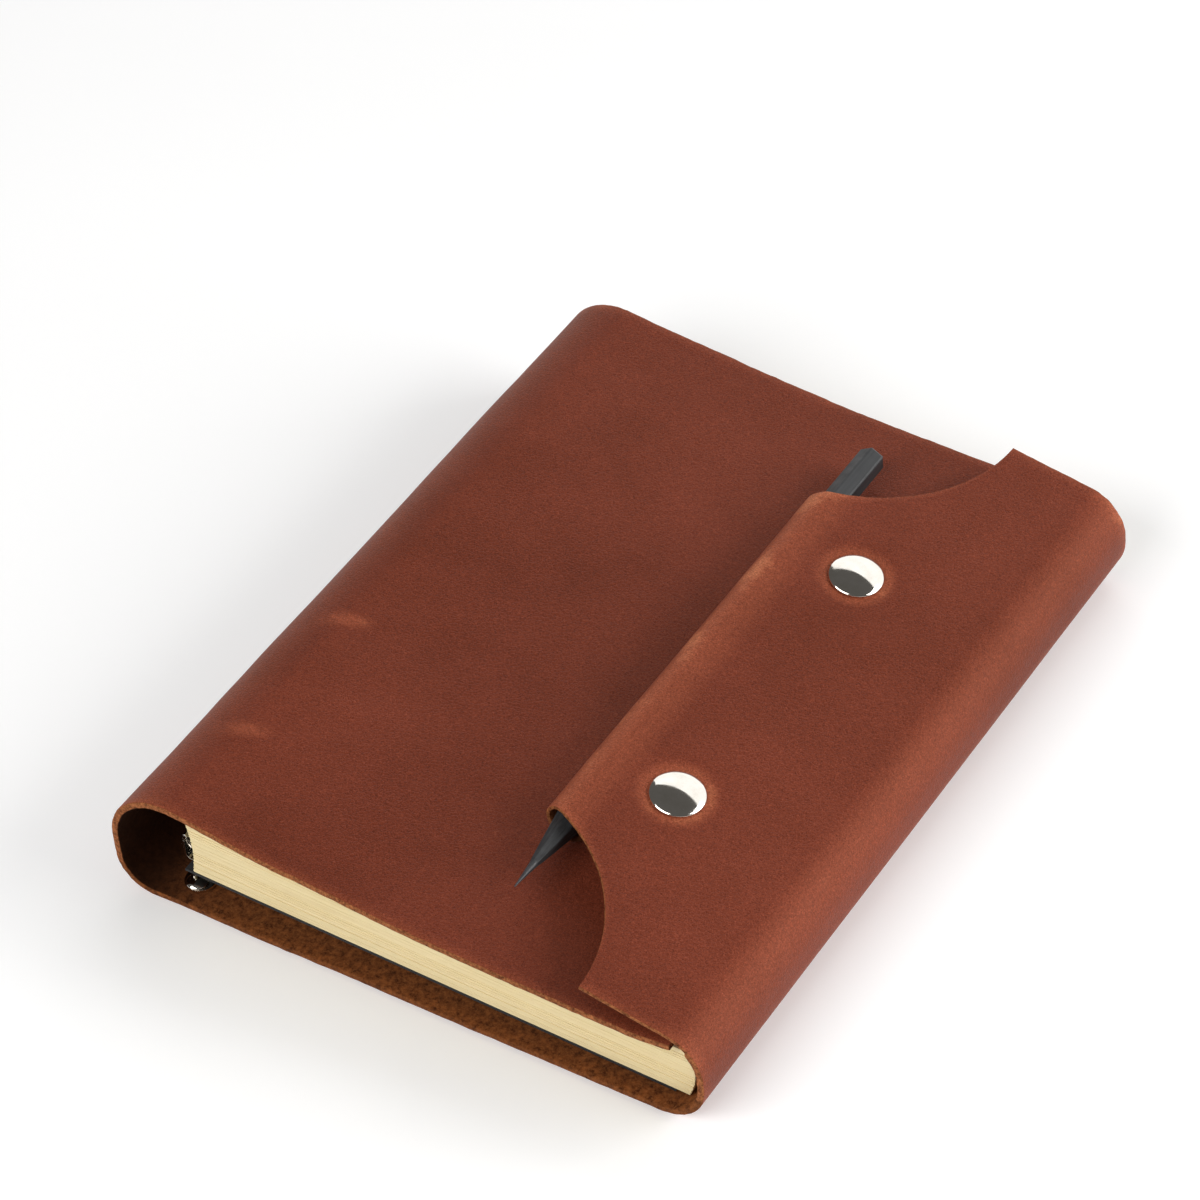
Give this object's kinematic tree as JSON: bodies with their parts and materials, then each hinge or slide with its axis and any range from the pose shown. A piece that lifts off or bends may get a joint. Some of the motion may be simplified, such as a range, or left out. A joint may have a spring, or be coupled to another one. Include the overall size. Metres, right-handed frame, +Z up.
{
  "type": "leather notebook cover",
  "caption": "Thick leather ring-binder wrap closed round a paper refill, with a snap flap whose turned-under end forms a pencil sleeve.",
  "frame": {"origin": "middle of the wrap's footprint, on the surface that it lies on", "axes": "+X from the spine to the fore-edge, +Y along the spine to the far end, +Z up"},
  "size_m": [0.1764, 0.222, 0.0397],
  "materials": {
    "hide": "oiled pull-up hide with worn, lighter bends",
    "nickel": "bright nickel plate",
    "paper": "cream uncoated stock",
    "card": "black card",
    "pencil_paint": "black painted wood",
    "graphite": "graphite"
  },
  "bodies": {
    "back": {"back_cover_leather": "hide", "paper_block": "paper", "backing_card": "card", "ring_plate": "nickel", "mounting_rivet_near": "nickel", "mounting_rivet_far": "nickel"},
    "spine": {"spine_leather": "hide"},
    "front": {"front_cover_leather": "hide", "snap_stud_near": "nickel", "snap_stud_far": "nickel", "snap_post_near": "nickel", "snap_post_far": "nickel"},
    "fore_edge": {"fore_edge_leather": "hide"},
    "flap": {"flap_leather": "hide", "snap_cap_near": "nickel", "snap_cap_far": "nickel", "snap_socket_near": "nickel", "snap_socket_far": "nickel"},
    "pencil": {"pencil_barrel": "pencil_paint", "pencil_lead": "graphite"},
    "ring_leaf_left": {"ring_rail_left": "nickel", "half_ring_left_1": "nickel", "half_ring_left_2": "nickel", "half_ring_left_3": "nickel", "half_ring_left_4": "nickel", "half_ring_left_5": "nickel", "half_ring_left_6": "nickel"},
    "ring_leaf_right": {"ring_rail_right": "nickel", "half_ring_right_1": "nickel", "half_ring_right_2": "nickel", "half_ring_right_3": "nickel", "half_ring_right_4": "nickel", "half_ring_right_5": "nickel", "half_ring_right_6": "nickel"},
    "trigger_near": {"ring_trigger_near": "nickel"},
    "trigger_far": {"ring_trigger_far": "nickel"}
  },
  "joints": [
    {"name": "spine_fold", "type": "hinge", "parent": "back", "child": "spine", "pos_m": [-0.08503, 0, 0.00322], "axis": [0, -1, 0], "range_deg": [0, 90]},
    {"name": "cover_fold", "type": "hinge", "parent": "spine", "child": "front", "pos_m": [-0.08153, 0, 0.0316], "axis": [0, -1, 0], "range_deg": [0, 93]},
    {"name": "fore_edge_fold", "type": "hinge", "parent": "back", "child": "fore_edge", "pos_m": [0.08427, 0, 0.00398], "axis": [0, 1, 0], "range_deg": [0, 90]},
    {"name": "flap_fold", "type": "hinge", "parent": "fore_edge", "child": "flap", "pos_m": [0.08353, 0, 0.02631], "axis": [0, 1, 0], "range_deg": [0, 78]},
    {"name": "pencil_slide", "type": "slide", "parent": "flap", "child": "pencil", "axis": [0, 1, 0], "range_m": [0, 0.16]},
    {"name": "near_trigger", "type": "hinge", "parent": "back", "child": "trigger_near", "pos_m": [-0.06835, -0.095, 0.0044], "axis": [1, 0, 0], "range_deg": [0, 16]},
    {"name": "far_trigger", "type": "hinge", "parent": "back", "child": "trigger_far", "pos_m": [-0.06835, 0.095, 0.0044], "axis": [-1, 0, 0], "range_deg": [0, 16]},
    {"name": "left_rings", "type": "hinge", "parent": "back", "child": "ring_leaf_left", "pos_m": [-0.07385, 0, 0.0041], "axis": [0, -1, 0], "range_deg": [0, 12]},
    {"name": "right_rings", "type": "hinge", "parent": "back", "child": "ring_leaf_right", "pos_m": [-0.06285, 0, 0.0041], "axis": [0, 1, 0], "range_deg": [0, 12]}
  ],
  "couplings": [
    {"joint": "far_trigger", "follows": "near_trigger", "ratio": 1},
    {"joint": "left_rings", "follows": "near_trigger", "ratio": 0.75},
    {"joint": "right_rings", "follows": "near_trigger", "ratio": 0.75}
  ]
}
